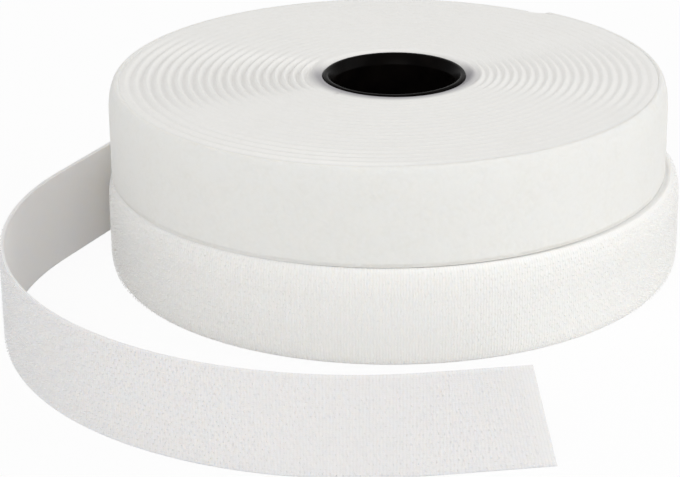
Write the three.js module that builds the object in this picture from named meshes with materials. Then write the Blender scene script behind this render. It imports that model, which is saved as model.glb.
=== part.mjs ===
// A pair of fastening tape rolls: hook tape below, loop tape above, each wound on its own plastic core.
// Millimetres, +Z up. The origin is on the bore axis, in the plane that the lower roll stands on.
import * as THREE from 'three';

// Tape: both are woven to the same width. The innermost turn is tucked down beside the core.
const tapeWidth = 20;
const tuckDepth = 1;
const tuckTurns = 1;
const tuckRampTurns = 0.15;

// Core: a moulded ring with a rounded lip, a flat land and a lead-in at both ends of its bore.
const coreBoreRadius = 12.7;
const coreWall = 2.3;
const coreRecess = 0.45;
const coreLipRadius = 0.5;
const coreLandWidth = 0.5;
const coreLeadInDepth = 2;

// Adhesive strip that holds the inner end of a tape to its core.
const stripThickness = 0.35;
const stripLength = 16;
const stripEdgeMargin = 2;

// Clearances: between pieces that bear on each other, and between the two rolls.
const seatGap = 0.3;
const stackGap = 0.2;

// Hook winding: loose turns that drift along X as they build up, and end where the tail leaves.
const hookThickness = 1.4;
const hookTurns = 20;
const hookInnerGap = 0.55;
const hookOuterGap = 1.12;
const hookEndAngle = 153.5;
const hookDrift = -0.92;

// Loop winding: a closer one, with its free end lying flat on the turn below.
const loopThickness = 1.1;
const loopTurns = 21.5;
const loopInnerGap = 0.6;
const loopOuterGap = 1.14;
const loopEndAngle = 49;
const loopDrift = -1.96;

// Tail: straight off the roll, round a wide arc and straight again to a slanted cut.
const tailLead = 34;
const tailArcRadius = 71;
const tailArcSweep = 124.5;
const tailEndRun = 21.5;
const tailCutSlant = 4.8;

// Facets.
const stepsPerTurn = 24;
const coreSegments = 48;
const lipSteps = 2;
const stripSteps = 6;
const tailArcSteps = 25;

const coreRadius = coreBoreRadius + coreWall;
const stripRadius = coreRadius + seatGap;
const windingRadius = stripRadius + stripThickness + seatGap;
const loopBase = tapeWidth + stackGap;

const blackPlastic = new THREE.MeshStandardMaterial({ color: 0x0b0b0c, roughness: 0.35, metalness: 0 });
const hookWeave = new THREE.MeshStandardMaterial({ color: 0xeeeeec, roughness: 0.75, metalness: 0 });
const loopPile = new THREE.MeshStandardMaterial({ color: 0xf3f2ef, roughness: 0.95, metalness: 0 });
const adhesiveFilm = new THREE.MeshStandardMaterial({ color: 0xd9d2bd, roughness: 0.5, metalness: 0 });

// A plan point moved some distance along a vector.
function offset(point, vector, distance) {
  return point.clone().addScaledVector(vector, distance);
}

// The unit vector at an angle from +X.
function direction(angle) {
  return new THREE.Vector2(Math.cos(angle), Math.sin(angle));
}

// Joins four-cornered sections into one closed band. A section lists its corners as
// inner low, outer low, outer high and inner high, and the band runs counter-clockwise in plan.
function bandGeometry(sections) {
  const corners = 4;
  const positions = sections.flat().flatMap((corner) => corner.toArray());
  const triangles = [];
  for (let i = 0; i + 1 < sections.length; i += 1) {
    for (let k = 0; k < corners; k += 1) {
      const a = i * corners + k;
      const b = i * corners + ((k + 1) % corners);
      triangles.push(a, b + corners, b, a, a + corners, b + corners);
    }
  }
  const last = (sections.length - 1) * corners;
  triangles.push(0, 1, 2, 0, 2, 3);
  triangles.push(last, last + 2, last + 1, last, last + 3, last + 2);
  const geometry = new THREE.BufferGeometry();
  geometry.setAttribute('position', new THREE.Float32BufferAttribute(positions, 3));
  geometry.setIndex(triangles);
  geometry.computeVertexNormals();
  return geometry;
}

// One section of a band whose faces are at two plan points, between two heights.
function section(inner, outer, low, high) {
  return [
    new THREE.Vector3(inner.x, inner.y, low),
    new THREE.Vector3(outer.x, outer.y, low),
    new THREE.Vector3(outer.x, outer.y, high),
    new THREE.Vector3(inner.x, inner.y, high),
  ];
}

// A winding's middle line: the pitch grows evenly from the first turn to the last,
// and each turn's centre drifts a little further towards the loose side.
class Winding {
  constructor(thickness, turns, innerGap, outerGap, endAngle, drift) {
    this.thickness = thickness;
    this.turns = turns;
    this.innerPitch = thickness + innerGap;
    this.outerPitch = thickness + outerGap;
    this.endAngle = THREE.MathUtils.degToRad(endAngle);
    this.drift = drift;
    this.steps = Math.round(turns * stepsPerTurn);
  }

  angle(turn) {
    return this.endAngle - 2 * Math.PI * (this.turns - turn);
  }

  radius(turn) {
    const growth = (this.outerPitch - this.innerPitch) / (2 * this.turns);
    return windingRadius + this.thickness / 2 + this.innerPitch * turn + growth * turn * turn;
  }

  // A point of the winding in plan. Across is measured outwards from the tape's middle.
  point(turn, across) {
    const centre = new THREE.Vector2((this.drift * turn) / this.turns, 0);
    return offset(centre, direction(this.angle(turn)), this.radius(turn) + across);
  }

  // The upper edge: tucked down on the first turn, then level.
  upperEdge(turn) {
    const risen = THREE.MathUtils.smoothstep(turn, tuckTurns, tuckTurns + tuckRampTurns);
    return tapeWidth - tuckDepth * (1 - risen);
  }

  turnAt(step) {
    return (step * this.turns) / this.steps;
  }

  geometry() {
    const sections = [];
    for (let step = 0; step <= this.steps; step += 1) {
      const turn = this.turnAt(step);
      const inner = this.point(turn, -this.thickness / 2);
      const outer = this.point(turn, this.thickness / 2);
      sections.push(section(inner, outer, 0, this.upperEdge(turn)));
    }
    return bandGeometry(sections);
  }

  // Least distance from points on a turn's inner face to the outer face of the turns inside it.
  leastGap() {
    const innerFace = [];
    const outerFace = [];
    for (let step = 0; step <= this.steps; step += 1) {
      innerFace.push(this.point(this.turnAt(step), -this.thickness / 2));
      outerFace.push(this.point(this.turnAt(step), this.thickness / 2));
    }
    let least = Infinity;
    for (let step = stepsPerTurn; step < this.steps; step += 1) {
      const samples = [innerFace[step], innerFace[step].clone().lerp(innerFace[step + 1], 0.5)];
      const from = Math.max(0, step - stepsPerTurn - 2);
      for (let other = from; other < step - stepsPerTurn + 2; other += 1) {
        for (const sample of samples) {
          least = Math.min(least, distanceToSegment(sample, outerFace[other], outerFace[other + 1]));
        }
      }
    }
    return least;
  }

  // Length of the tape along the middle of its thickness.
  length() {
    let total = 0;
    for (let step = 0; step < this.steps; step += 1) {
      total += this.point(this.turnAt(step), 0).distanceTo(this.point(this.turnAt(step + 1), 0));
    }
    return total;
  }
}

function distanceToSegment(point, start, end) {
  const along = end.clone().sub(start);
  const share = point.clone().sub(start).dot(along) / along.lengthSq();
  return point.distanceTo(offset(start, along, THREE.MathUtils.clamp(share, 0, 1)));
}

// The tail's middle line in plan, by the distance from where it leaves the winding.
class TailRoute {
  constructor(winding) {
    this.start = winding.point(winding.turns, 0);
    this.startHeading = winding.endAngle + Math.PI / 2;
    this.sweep = THREE.MathUtils.degToRad(tailArcSweep);
    this.arcLength = tailArcRadius * this.sweep;
    this.length = tailLead + this.arcLength + tailEndRun;
    const arcStart = offset(this.start, direction(this.startHeading), tailLead);
    this.arcCentre = offset(arcStart, direction(this.startHeading + Math.PI / 2), tailArcRadius);
  }

  heading(distance) {
    const turned = THREE.MathUtils.clamp((distance - tailLead) / tailArcRadius, 0, this.sweep);
    return this.startHeading + turned;
  }

  middle(distance) {
    if (distance < tailLead) {
      return offset(this.start, direction(this.startHeading), distance);
    }
    const heading = this.heading(distance);
    const onArc = offset(this.arcCentre, direction(heading - Math.PI / 2), tailArcRadius);
    return offset(onArc, direction(heading), Math.max(0, distance - tailLead - this.arcLength));
  }

  // A point of the route. Across is measured to the right, which is towards the tape's outer face.
  point(distance, across) {
    return offset(this.middle(distance), direction(this.heading(distance) - Math.PI / 2), across);
  }
}

// The tail as a band along its route, longer at its lower edge than at its upper one.
function tailGeometry(route, thickness) {
  const sectionAt = (distance) => section(
    route.point(distance, -thickness / 2), route.point(distance, thickness / 2), 0, tapeWidth);
  const sections = [sectionAt(seatGap)];
  for (let step = 0; step <= tailArcSteps; step += 1) {
    sections.push(sectionAt(tailLead + (route.arcLength * step) / tailArcSteps));
  }
  const lowerCut = sectionAt(route.length + tailCutSlant / 2).slice(0, 2);
  const upperCut = sectionAt(route.length - tailCutSlant / 2).slice(2);
  sections.push([...lowerCut, ...upperCut]);
  return bandGeometry(sections);
}

// The core's wall in radius and height, turned round the bore axis.
function coreGeometry() {
  const height = tapeWidth - coreRecess;
  const landRadius = coreRadius - coreLipRadius - coreLandWidth;
  const profile = new THREE.Path();
  profile.moveTo(coreBoreRadius, coreLeadInDepth);
  profile.lineTo(landRadius, 0);
  profile.lineTo(coreRadius - coreLipRadius, 0);
  profile.absarc(coreRadius - coreLipRadius, coreLipRadius, coreLipRadius, -Math.PI / 2, 0, false);
  profile.lineTo(coreRadius, height - coreLipRadius);
  profile.absarc(coreRadius - coreLipRadius, height - coreLipRadius, coreLipRadius, 0, Math.PI / 2, false);
  profile.lineTo(landRadius, height);
  profile.lineTo(coreBoreRadius, height - coreLeadInDepth);
  profile.lineTo(coreBoreRadius, coreLeadInDepth);
  const geometry = new THREE.LatheGeometry(profile.getPoints(lipSteps), coreSegments);
  geometry.rotateX(Math.PI / 2);
  return geometry;
}

// The strip lies on the core under the first stretch of the first turn.
function stripGeometry(winding) {
  const startAngle = winding.angle(0);
  const sweep = stripLength / (stripRadius + stripThickness / 2);
  const sections = [];
  for (let step = 0; step <= stripSteps; step += 1) {
    const outwards = direction(startAngle + (sweep * step) / stripSteps);
    const inner = outwards.clone().multiplyScalar(stripRadius);
    const outer = outwards.clone().multiplyScalar(stripRadius + stripThickness);
    sections.push(section(inner, outer, stripEdgeMargin, tapeWidth - stripEdgeMargin));
  }
  return bandGeometry(sections);
}

function piece(name, geometry, material) {
  const mesh = new THREE.Mesh(geometry, material);
  mesh.name = name;
  return mesh;
}

const hookWinding = new Winding(
  hookThickness, hookTurns, hookInnerGap, hookOuterGap, hookEndAngle, hookDrift);
const loopWinding = new Winding(
  loopThickness, loopTurns, loopInnerGap, loopOuterGap, loopEndAngle, loopDrift);
const tailRoute = new TailRoute(hookWinding);

const hookRoll = new THREE.Group();
hookRoll.add(piece('hook_core', coreGeometry(), blackPlastic));
hookRoll.add(piece('hook_start_strip', stripGeometry(hookWinding), adhesiveFilm));
hookRoll.add(piece('hook_tape', hookWinding.geometry(), hookWeave));
hookRoll.add(piece('hook_tape_tail', tailGeometry(tailRoute, hookThickness), hookWeave));

const loopRoll = new THREE.Group();
loopRoll.position.z = loopBase;
loopRoll.add(piece('loop_core', coreGeometry(), blackPlastic));
loopRoll.add(piece('loop_start_strip', stripGeometry(loopWinding), adhesiveFilm));
loopRoll.add(piece('loop_tape', loopWinding.geometry(), loopPile));

function describe(name, winding) {
  const length = winding.length().toFixed(0);
  const gap = winding.leastGap().toFixed(3);
  console.log(`${name}: ${length} mm wound, least gap between turns ${gap} mm`);
}

describe('hook tape', hookWinding);
describe('loop tape', loopWinding);
console.log(`hook tape tail: ${tailRoute.length.toFixed(0)} mm`);

const tapeRolls = new THREE.Group();
tapeRolls.add(hookRoll, loopRoll);

export default tapeRolls;
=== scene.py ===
"""Two rolls of fastening tape, one standing on the other: hook tape below and loop tape above.

Each tape is wound on a black moulded core. The free end of the hook tape leaves its roll and stands
on its edge in a wide curl. Sizes are in millimetres and meshes in metres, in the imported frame.
"""

from __future__ import annotations

import logging
import math
import random
from collections.abc import Callable
from dataclasses import dataclass, field
from enum import Enum

import bpy
import numpy as np
from mathutils import Matrix, Vector, noise

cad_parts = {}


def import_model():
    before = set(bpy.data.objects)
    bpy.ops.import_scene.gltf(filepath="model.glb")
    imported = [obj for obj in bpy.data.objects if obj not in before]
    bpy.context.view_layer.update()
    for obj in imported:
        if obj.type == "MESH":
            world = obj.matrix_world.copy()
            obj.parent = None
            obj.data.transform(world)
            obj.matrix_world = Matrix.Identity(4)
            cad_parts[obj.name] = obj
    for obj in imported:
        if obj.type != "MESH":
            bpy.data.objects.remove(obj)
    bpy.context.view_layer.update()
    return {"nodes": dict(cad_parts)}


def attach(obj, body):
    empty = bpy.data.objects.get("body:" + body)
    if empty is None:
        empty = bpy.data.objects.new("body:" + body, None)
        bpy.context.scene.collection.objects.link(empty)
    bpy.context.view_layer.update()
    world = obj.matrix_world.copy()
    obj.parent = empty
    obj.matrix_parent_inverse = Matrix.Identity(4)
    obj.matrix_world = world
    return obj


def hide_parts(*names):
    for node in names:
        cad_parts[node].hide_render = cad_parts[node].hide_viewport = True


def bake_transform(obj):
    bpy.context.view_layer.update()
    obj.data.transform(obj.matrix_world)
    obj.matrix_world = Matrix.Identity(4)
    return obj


MM = 0.001
TAPE_MAP = "tape_mm"
TAPE_WIDTH = 20.0
LOOP_BASE = 20.2
BACK_STATIONS = 2
WANDER_LAYER = 0.5
SOFT_WEIGHT = 0.6
SOFT_RADIUS = (1.0, 0.9, 0.8)
SOFT_SCALE = 0.001
WHITE = (1.0, 1.0, 1.0, 1.0)
log = logging.getLogger("tape_rolls")

Array = np.ndarray
Span = tuple[float, float]
Colour = tuple[float, float, float]
Point = tuple[float, float, float]
Faces = list[tuple[int, ...]]
Material = bpy.types.Material
Piece = bpy.types.Object
Socket = bpy.types.NodeSocket


class Body(str, Enum):
    """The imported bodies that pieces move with."""

    HOOK_ROLL = "hook_roll"
    HOOK_TAIL = "hook_tail"
    LOOP_ROLL = "loop_roll"


class Slot(str, Enum):
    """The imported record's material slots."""

    CORE = "core_plastic"
    HOOK = "hook_tape"
    LOOP = "loop_tape"


class Hold(str, Enum):
    """How a sheet is held."""

    STRETCHED = "stretched"


def smoothstep(value: Array | float, low: float, high: float) -> Array:
    """Rises smoothly from 0 at low to 1 at high.

    Args:
        value: Where to read the curve.
        low: Where the rise starts.
        high: Where the rise ends.

    Returns:
        The curve's height at each value.
    """
    share = np.clip((np.asarray(value, float) - low) / (high - low), 0.0, 1.0)
    return share * share * (3.0 - 2.0 * share)


def direction(angle: Array | float) -> Array:
    """Gives the plan unit vector at an angle from +X, along a new last axis."""
    return np.stack([np.cos(angle), np.sin(angle)], axis=-1)


def wander(places: Array, wavelength: float, seed: float) -> Array:
    """Reads a smooth seeded noise along a line.

    Args:
        places: Distances along the line.
        wavelength: Rough distance between crests, in the same unit.
        seed: Picks one of many unlike lines.

    Returns:
        Values of about -1 to 1, one for each place.
    """
    return np.array([noise.noise(Vector((float(p) / wavelength, seed, WANDER_LAYER))) for p in places])


def shoulder_fall(low: Array, high: Array) -> Array:
    """Gives how far rounded shoulders fall, from 0 on the face to 1 at either edge.

    Args:
        low: Distances from the lower edge, as shares of its shoulder's height.
        high: Distances from the upper edge, as shares of its shoulder's height.

    Returns:
        The falls, as shares of the shoulders' depth.
    """
    inset = np.clip(1.0 - np.minimum(low, high), 0.0, 1.0)
    return 1.0 - np.sqrt(1.0 - inset * inset)


def deselect() -> None:
    """Leaves object mode with nothing selected."""
    if bpy.context.mode != "OBJECT":
        bpy.ops.object.mode_set(mode="OBJECT")
    bpy.ops.object.select_all(action="DESELECT")


def smooth_shade(piece: Piece, angle_deg: float) -> None:
    """Shades a piece smooth, with its sharpest edges kept.

    Args:
        piece: The object.
        angle_deg: The angle above which an edge stays sharp.
    """
    deselect()
    piece.select_set(True)
    bpy.context.view_layer.objects.active = piece
    bpy.ops.object.shade_smooth_by_angle(angle=math.radians(angle_deg))
    deselect()


def paint(piece: Piece, material: Material) -> None:
    """Gives a piece one material all over."""
    piece.data.materials.clear()
    piece.data.materials.append(material)


def mesh_piece(name: str, points: Array, faces: Faces) -> Piece:
    """Makes a piece from points and faces.

    Args:
        name: The piece's name.
        points: One row of x, y and z for each point, in millimetres.
        faces: Indices of each face's points, counter-clockwise from outside.

    Returns:
        The new object, at the origin.
    """
    mesh = bpy.data.meshes.new(name)
    mesh.from_pydata((points * MM).tolist(), [], faces)
    mesh.update()
    piece = bpy.data.objects.new(name, mesh)
    bpy.context.scene.collection.objects.link(piece)
    return piece


# Finishes


@dataclass(frozen=True)
class Mottle:
    """A noise texture's scale and detail."""

    scale: float
    detail: float = 2.0


@dataclass(frozen=True)
class Relief:
    """A bump's real depth in millimetres and its strength."""

    depth: float
    strength: float


class NodeGraph:
    """Short calls that add and wire the nodes of one material or world."""

    def __init__(self, owner: Material | bpy.types.World, output: str = "OutputMaterial") -> None:
        """Empties the owner's nodes and adds its output.

        Args:
            owner: A new material or world.
            output: The output node's type, without its ShaderNode prefix.
        """
        owner.use_nodes = True
        self.owner = owner
        self.tree = owner.node_tree
        self.tree.nodes.clear()
        self.output = self.add(output)

    def add(self, kind: str, inputs: dict | None = None, **settings: object) -> bpy.types.Node:
        """Adds a node.

        Args:
            kind: The node's type, without its ShaderNode prefix.
            inputs: Values or sockets for the inputs, by name or place.
            settings: Values for the node's own properties.

        Returns:
            The new node.
        """
        node = self.tree.nodes.new(f"ShaderNode{kind}")
        for key, value in settings.items():
            setattr(node, key, value)
        for key, value in (inputs or {}).items():
            self.feed(node.inputs[key], value)
        return node

    def feed(self, socket: Socket, value: object) -> None:
        """Links an input to another node's output, or sets its own value.

        Args:
            socket: The input.
            value: The output's socket, or the value.
        """
        if isinstance(value, Socket):
            self.tree.links.new(value, socket)
        else:
            socket.default_value = value

    def math(self, operation: str, *values: object) -> Socket:
        """Adds a Math node.

        Args:
            operation: What the node does.
            values: Up to three values or sockets.

        Returns:
            The result.
        """
        node = self.add("Math", operation=operation)
        for socket, value in zip(node.inputs, values):
            self.feed(socket, value)
        return node.outputs[0]

    def spread(self, factor: Socket, span: Span) -> Socket:
        """Spreads a factor from 0 to 1 over a span of values."""
        return self.math("MULTIPLY_ADD", factor, span[1] - span[0], span[0])

    def shares(self, first: Socket, second: Socket, parts: Span) -> Socket:
        """Adds two factors, each times its own part."""
        return self.math("MULTIPLY_ADD", first, parts[0], self.math("MULTIPLY", second, parts[1]))

    def ramp(self, factor: Socket, stops: Span, low: Colour, high: Colour) -> Socket:
        """Turns a factor into a colour between two others.

        Args:
            factor: The socket that is read.
            stops: Where on it the low and the high colour stand, from 0 to 1.
            low: The colour up to the first stop.
            high: The colour from the second stop on.

        Returns:
            The colour.
        """
        node = self.add("ValToRGB", {"Fac": factor})
        for element, place, colour in zip(node.color_ramp.elements, stops, (low, high)):
            element.position = place
            element.color = rgba(colour)
        return node.outputs["Color"]

    def noise(self, vector: Socket, mottle: Mottle) -> Socket:
        """Adds a noise texture and gives its factor."""
        look = {"Vector": vector, "Scale": mottle.scale, "Detail": mottle.detail}
        return self.add("TexNoise", look).outputs["Fac"]

    def fade(self, value: Socket, low: float, high: float) -> Socket:
        """Turns a value into a smooth rise from 0 at one level to 1 at another."""
        limits = {"Value": value, "From Min": low, "From Max": high}
        return self.add("MapRange", limits, interpolation_type="SMOOTHSTEP").outputs[0]

    def object_place(self) -> Socket:
        """Gives the place in the piece's own frame, in metres."""
        return self.add("TexCoord").outputs["Object"]

    def tape_place(self) -> tuple[Socket, Socket, Socket]:
        """Reads the place on a tape, in millimetres.

        Returns:
            The place as a vector, and its parts along and across the tape.
        """
        place = self.add("UVMap", uv_map=TAPE_MAP).outputs["UV"]
        parts = self.add("SeparateXYZ", {"Vector": place}).outputs
        return place, parts["X"], parts["Y"]

    def waves(self, along: Socket, pitch: float) -> Socket:
        """Gives even ridges of a pitch, from 0 in a valley to 1 on a crest."""
        swing = self.math("SINE", self.math("MULTIPLY", along, 2.0 * math.pi / pitch))
        return self.math("MULTIPLY_ADD", swing, 0.5, 0.5)

    def bump(self, height: Socket, relief: Relief) -> Socket:
        """Turns a height from 0 to 1 into a normal."""
        depth = {"Height": height, "Strength": relief.strength, "Distance": relief.depth * MM}
        return self.add("Bump", depth).outputs["Normal"]

    def close(self, shader: bpy.types.Node) -> Material | bpy.types.World:
        """Links the last shader to the output and gives the material or world."""
        self.feed(self.output.inputs["Surface"], shader.outputs[0])
        return self.owner

    def surface(self, inputs: dict) -> Material:
        """Ends the graph in one Principled shader and gives the material."""
        return self.close(self.add("BsdfPrincipled", inputs))


def rgba(colour: Colour) -> tuple[float, float, float, float]:
    """Adds full opacity to a colour."""
    return (*colour, 1.0)


def soft(weight: float = SOFT_WEIGHT, scale: float = SOFT_SCALE) -> dict[str, object]:
    """Gives a shader's inputs for white stuff that light passes into."""
    return {"Subsurface Weight": weight, "Subsurface Radius": SOFT_RADIUS, "Subsurface Scale": scale}


@dataclass(frozen=True)
class MouldedPlastic:
    """Black moulded plastic with a satin gloss and a faint cloudiness."""

    dark: Colour = (0.0015, 0.0012, 0.0012)
    light: Colour = (0.004, 0.003, 0.0025)
    cloud: Mottle = Mottle(240.0, 3.0)
    cloud_stops: Span = (0.3, 0.7)
    grain: Mottle = Mottle(2600.0)
    grain_relief: Relief = Relief(0.01, 0.35)
    roughness: Span = (0.2, 0.3)
    gloss: float = 0.018

    def material(self) -> Material:
        """Builds the finish.

        Returns:
            The plastic, as a new material.
        """
        graph = NodeGraph(bpy.data.materials.new("core_black"))
        place = graph.object_place()
        cloud = graph.noise(place, self.cloud)
        return graph.surface({
            "Base Color": graph.ramp(cloud, self.cloud_stops, self.dark, self.light),
            "Roughness": graph.spread(cloud, self.roughness),
            "Specular IOR Level": self.gloss,
            "Normal": graph.bump(graph.noise(place, self.grain), self.grain_relief),
        })


@dataclass(frozen=True)
class AdhesiveFilm:
    """Dull double-sided film, with small bubbles under it."""

    thin: Colour = (0.76, 0.70, 0.54)
    thick: Colour = (0.64, 0.57, 0.41)
    bubbles: Mottle = Mottle(900.0, 4.0)
    bubble_stops: Span = (0.35, 0.6)
    bubble_relief: Relief = Relief(0.03, 0.4)
    roughness: Span = (0.35, 0.65)

    def material(self) -> Material:
        """Builds the finish.

        Returns:
            The film, as a new material.
        """
        graph = NodeGraph(bpy.data.materials.new("start_strip_film"))
        bubbles = graph.noise(graph.object_place(), self.bubbles)
        return graph.surface({
            "Base Color": graph.ramp(bubbles, self.bubble_stops, self.thick, self.thin),
            "Roughness": graph.spread(bubbles, self.roughness),
            "Normal": graph.bump(bubbles, self.bubble_relief),
        })


@dataclass(frozen=True)
class PaintedTailShade:
    """Painted shade on the free end: its white is darkened away from the roll, standing in for the light
    that turns behind it would throw back.
    """

    painted_shade_tint: Colour = (0.863, 0.868, 0.896)
    heading: Point = (-0.446, -0.895, 0.0)
    start: float = 0.5
    reach: float = 30.0

    def dull(self, graph: NodeGraph, colour: Socket) -> Socket:
        """Paints shade into a colour along the free end's first stretch.

        Args:
            graph: The material's nodes.
            colour: The colour on the roll.

        Returns:
            The colour with painted shade, on the free end.
        """
        ahead = graph.add("VectorMath", {0: graph.object_place(), 1: self.heading}, operation="DOT_PRODUCT")
        share = graph.fade(ahead.outputs["Value"], self.start * MM, (self.start + self.reach) * MM)
        # Painted shade: the colour is multiplied towards a grey tint further from the roll.
        shades = {"Fac": share, "Color1": colour, "Color2": rgba(self.painted_shade_tint)}
        return graph.add("MixRGB", shades, blend_type="MULTIPLY").outputs[0]


@dataclass(frozen=True)
class WovenGround:
    """White woven ground cloth: ribs across the tape, finer threads along it, and a coated back."""

    name: str
    crest: Colour = (0.954, 0.942, 0.914)
    valley: Colour = (0.908, 0.893, 0.861)
    tone_stops: Span = (0.1, 0.6)
    tone_shares: Span = (0.35, 0.8)
    drift: Mottle = Mottle(0.4, 3.0)
    drift_shifts: Span = (0.5, 0.4)
    fibres: Mottle = Mottle(7.0, 4.0)
    rib_pitch: float = 0.58
    thread_pitch: float = 0.36
    weave_shares: Span = (0.35, 0.65)
    weave_relief: Relief = Relief(0.09, 0.7)
    back_share: float = 0.3
    roughness: Span = (0.58, 0.78)
    sheen: Span = (0.15, 0.5)
    softness: float = SOFT_WEIGHT
    soft_scale: float = SOFT_SCALE
    # Painted shade that darkens the free end away from the roll, if given.
    layer: PaintedTailShade | None = None

    def material(self) -> Material:
        """Builds the finish.

        Returns:
            The cloth, as a new material.
        """
        graph = NodeGraph(bpy.data.materials.new(self.name))
        place, along, across = graph.tape_place()
        drift = graph.noise(place, self.drift)
        rib_shift, thread_shift = self.drift_shifts
        ribs = graph.waves(graph.math("MULTIPLY_ADD", drift, rib_shift, along), self.rib_pitch)
        threads = graph.waves(graph.math("MULTIPLY_ADD", drift, thread_shift, across), self.thread_pitch)
        weave = graph.shares(threads, ribs, self.weave_shares)
        middle = TAPE_WIDTH / 2.0
        on_face = graph.math("COMPARE", across, middle, middle)
        height = graph.math("MULTIPLY", weave, graph.spread(on_face, (self.back_share, 1.0)))
        fibres = graph.noise(place, self.fibres)
        tone = graph.shares(fibres, weave, self.tone_shares)
        white = graph.ramp(tone, self.tone_stops, self.valley, self.crest)
        return graph.surface({
            # The base colour carries the free end's painted shade where a layer is given.
            "Base Color": self.layer.dull(graph, white) if self.layer else white,
            "Roughness": graph.spread(fibres, self.roughness),
            "Normal": graph.bump(height, self.weave_relief),
            "Sheen Weight": self.sheen[0],
            "Sheen Roughness": self.sheen[1],
            **soft(self.softness, self.soft_scale),
        })


@dataclass(frozen=True)
class HookFilament:
    """Clear white nylon filament, a little glossier than the cloth it stands on."""

    name: str
    pale: Colour = (0.954, 0.944, 0.918)
    dull: Colour = (0.923, 0.911, 0.882)
    patches: Mottle = Mottle(700.0)
    patch_stops: Span = (0.35, 0.6)
    roughness: Span = (0.3, 0.5)
    # Painted shade that darkens the free end away from the roll, if given.
    layer: PaintedTailShade | None = None

    def material(self) -> Material:
        """Builds the finish.

        Returns:
            The filament, as a new material.
        """
        graph = NodeGraph(bpy.data.materials.new(self.name))
        patches = graph.noise(graph.object_place(), self.patches)
        white = graph.ramp(patches, self.patch_stops, self.dull, self.pale)
        return graph.surface({
            # The base colour carries the free end's painted shade where a layer is given.
            "Base Color": self.layer.dull(graph, white) if self.layer else white,
            "Roughness": graph.spread(patches, self.roughness),
            **soft(),
        })


@dataclass(frozen=True)
class LoopPile:
    """Soft white looped pile: rounded tufts with fine fibres and a dry sheen, with painted shade beside the
    core in front and deep in the grooves between turns.
    """

    name: str
    softness: float = SOFT_WEIGHT
    crest: Colour = (0.958, 0.927, 0.865)
    valley: Colour = (0.926, 0.892, 0.824)
    tone_stops: Span = (0.3, 0.6)
    tone_shares: Span = (0.45, 0.6)
    # Painted shade: a grey mixed in as a contact shadow beside the core in front, and as shade deep in the
    # grooves.
    painted_shade_colour: Colour = (0.38, 0.37, 0.385)
    core_shade_radius: Span = (15.9, 18.8)
    core_shade_side: Span = (-0.6, 0.1)
    groove_heights: Span = (40.15, 39.6)
    groove_shade: float = 0.0
    tuft_scale: float = 1300.0
    fibres: Mottle = Mottle(3600.0, 4.0)
    cloud: Mottle = Mottle(160.0, 3.0)
    pile_shares: Span = (0.35, 0.65)
    pile_relief: Relief = Relief(0.16, 0.6)
    roughness: float = 0.95
    sheen: Span = (0.12, 0.6)

    def material(self) -> Material:
        """Builds the finish.

        Returns:
            The pile, as a new material.
        """
        graph = NodeGraph(bpy.data.materials.new(self.name))
        place = graph.object_place()
        cells = graph.add("TexVoronoi", {"Vector": place, "Scale": self.tuft_scale}, feature="SMOOTH_F1")
        tufts = graph.math("SUBTRACT", 1.0, cells.outputs["Distance"])
        height = graph.shares(graph.noise(place, self.fibres), tufts, self.pile_shares)
        tone = graph.shares(graph.noise(place, self.cloud), height, self.tone_shares)
        white = graph.ramp(tone, self.tone_stops, self.valley, self.crest)
        # Painted shade: the cloth's white is mixed towards grey by the painted shade's share.
        shades = {"Fac": self.painted_shade_share(graph, place), "Color1": white, "Color2": rgba(self.painted_shade_colour)}
        return graph.surface({
            "Base Color": graph.add("MixRGB", shades).outputs[0],
            "Roughness": self.roughness,
            "Normal": graph.bump(height, self.pile_relief),
            "Sheen Weight": self.sheen[0],
            "Sheen Roughness": self.sheen[1],
            **soft(self.softness),
        })

    def painted_shade_share(self, graph: NodeGraph, place: Socket) -> Socket:
        """Works out the painted shade's share: a painted contact shadow beside the core in front, and
        painted shade deep in the grooves between turns.

        Args:
            graph: The material's nodes.
            place: The place in the piece's own frame.

        Returns:
            The painted shade's share, from 0 to 1.
        """
        flat = graph.add("VectorMath", {0: place, 1: (1.0, 1.0, 0.0)}, operation="MULTIPLY").outputs[0]
        reach = graph.add("VectorMath", {0: flat}, operation="LENGTH").outputs["Value"]
        parts = graph.add("SeparateXYZ", {0: place}).outputs
        near, far = (radius * MM for radius in self.core_shade_radius)
        beside = graph.fade(reach, far, near)
        ahead = graph.math("DIVIDE", graph.math("MULTIPLY", parts["Y"], -1.0), reach)
        in_front = graph.math("MULTIPLY", beside, graph.fade(ahead, *self.core_shade_side))
        deep = graph.fade(parts["Z"], *(height * MM for height in self.groove_heights))
        return graph.math("MAXIMUM", in_front, graph.math("MULTIPLY", deep, self.groove_shade))


@dataclass(frozen=True)
class TapeFinish:
    """The hook tape's two materials on one stretch of it."""

    cloth: Material
    filament: Material


# Tapes


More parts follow.
